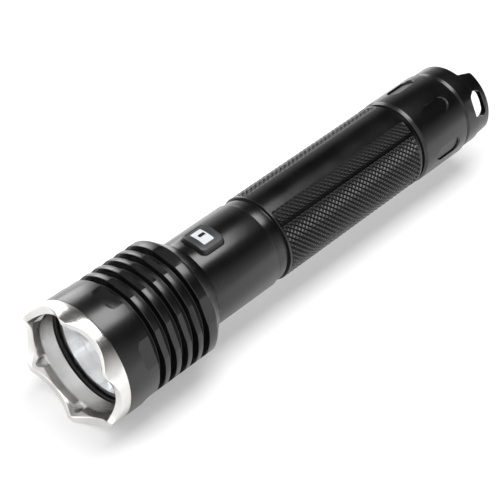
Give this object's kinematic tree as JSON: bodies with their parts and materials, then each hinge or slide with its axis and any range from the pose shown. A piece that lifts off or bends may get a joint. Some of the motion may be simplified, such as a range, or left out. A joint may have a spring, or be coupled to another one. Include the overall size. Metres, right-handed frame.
{
  "type": "tactical flashlight",
  "caption": "Tactical flashlight with a crowned strike bezel, finned hexagonal-flat head, side switch, knurled tube and a slotted two-ear tailcap.",
  "frame": {"origin": "on the beam axis, halfway between the bezel's tips and the ears' rear faces", "axes": "+X along the beam axis towards the tailcap, so the beam leaves along -X; +Z out through the side switch; +Y completes the right-handed frame"},
  "size_m": [0.1546, 0.0348, 0.0348],
  "materials": {
    "black_anodised": "satin hard-anodised",
    "knurled_anodised": "knurled, hard-anodised",
    "stainless": "turned and polished",
    "reflector_coat": "vacuum-metallised, smooth",
    "lens_glass": "clear, anti-reflective",
    "black_rubber": "matte",
    "boot_silicone": "matte",
    "switch_pad": "fine matte",
    "pad_inlay": "silver-white",
    "smoked_window": "smoked",
    "white_plastic": "moulded",
    "ivory_plastic": "moulded",
    "black_plastic": "moulded",
    "led_phosphor": "phosphor layer",
    "led_silicone": "clear silicone",
    "white_solder_mask": "solder mask",
    "green_solder_mask": "solder mask",
    "plated_brass": "gold-plated",
    "plain_steel": "zinc-plated",
    "lead_insulation": "silicone insulation",
    "cell_steel": "nickel-plated",
    "cell_sleeve": "heat-shrink"
  },
  "bodies": {
    "battery_tube": {"battery_tube": "knurled_anodised", "spacer_ring": "black_anodised", "cell_can": "cell_steel", "cell_wrap": "cell_sleeve", "cell_top_ring": "white_plastic"},
    "front_thread": {"tube_front_o_ring": "black_rubber"},
    "head": {"head_shell": "black_anodised", "head_o_ring": "black_rubber", "switch_collar": "black_anodised", "glass_lens": "lens_glass", "reflector": "reflector_coat", "led_centering_ring": "white_plastic", "led_dome": "led_silicone", "led_emitter": "led_phosphor", "led_board": "white_solder_mask", "board_screws": "plain_steel", "led_leads": "lead_insulation", "tact_switch": "black_plastic", "switch_board": "green_solder_mask", "switch_carrier": "black_plastic", "driver_board": "green_solder_mask", "driver_ring": "plated_brass", "front_contact_spring": "plated_brass"},
    "side_button": {"side_button": "switch_pad", "button_inlay": "pad_inlay", "indicator_window": "smoked_window", "button_boot": "black_rubber", "tact_plunger": "ivory_plastic"},
    "bezel_thread": {"lens_gasket": "black_rubber"},
    "bezel": {"strike_bezel": "stainless"},
    "rear_thread": {"tube_rear_o_ring": "black_rubber"},
    "tailcap": {"tailcap": "black_anodised", "tail_spring": "plated_brass", "tail_retaining_ring": "plated_brass", "tail_board": "green_solder_mask", "tail_switch": "black_plastic"},
    "tail_button": {"tail_boot": "boot_silicone", "tail_plunger": "ivory_plastic"}
  },
  "joints": [
    {"name": "head_turn", "type": "hinge", "parent": "battery_tube", "child": "front_thread", "pos_m": [-0.015, 0, 0], "axis": [-1, 0, 0], "range_deg": [0, 1440]},
    {"name": "head_travel", "type": "slide", "parent": "front_thread", "child": "head", "axis": [-1, 0, 0], "range_m": [0, 0.006]},
    {"name": "side_button_press", "type": "slide", "parent": "head", "child": "side_button", "axis": [0, 0, -1], "range_m": [0, 0.0006], "stiffness_N_per_m": 3000},
    {"name": "bezel_turn", "type": "hinge", "parent": "head", "child": "bezel_thread", "pos_m": [-0.0681, 0, 0], "axis": [-1, 0, 0], "range_deg": [0, 1260]},
    {"name": "bezel_travel", "type": "slide", "parent": "bezel_thread", "child": "bezel", "axis": [-1, 0, 0], "range_m": [0, 0.0035]},
    {"name": "tailcap_turn", "type": "hinge", "parent": "battery_tube", "child": "rear_thread", "pos_m": [0.0491, 0, 0], "axis": [1, 0, 0], "range_deg": [0, 1440]},
    {"name": "tailcap_travel", "type": "slide", "parent": "rear_thread", "child": "tailcap", "axis": [1, 0, 0], "range_m": [0, 0.006]},
    {"name": "tail_button_press", "type": "slide", "parent": "tailcap", "child": "tail_button", "axis": [-1, 0, 0], "range_m": [0, 0.0018], "stiffness_N_per_m": 2000}
  ],
  "couplings": [
    {"joint": "head_travel", "follows": "head_turn", "m_per_rad": 0.00023873},
    {"joint": "bezel_travel", "follows": "bezel_turn", "m_per_rad": 0.00015915},
    {"joint": "tailcap_travel", "follows": "tailcap_turn", "m_per_rad": 0.00023873}
  ]
}
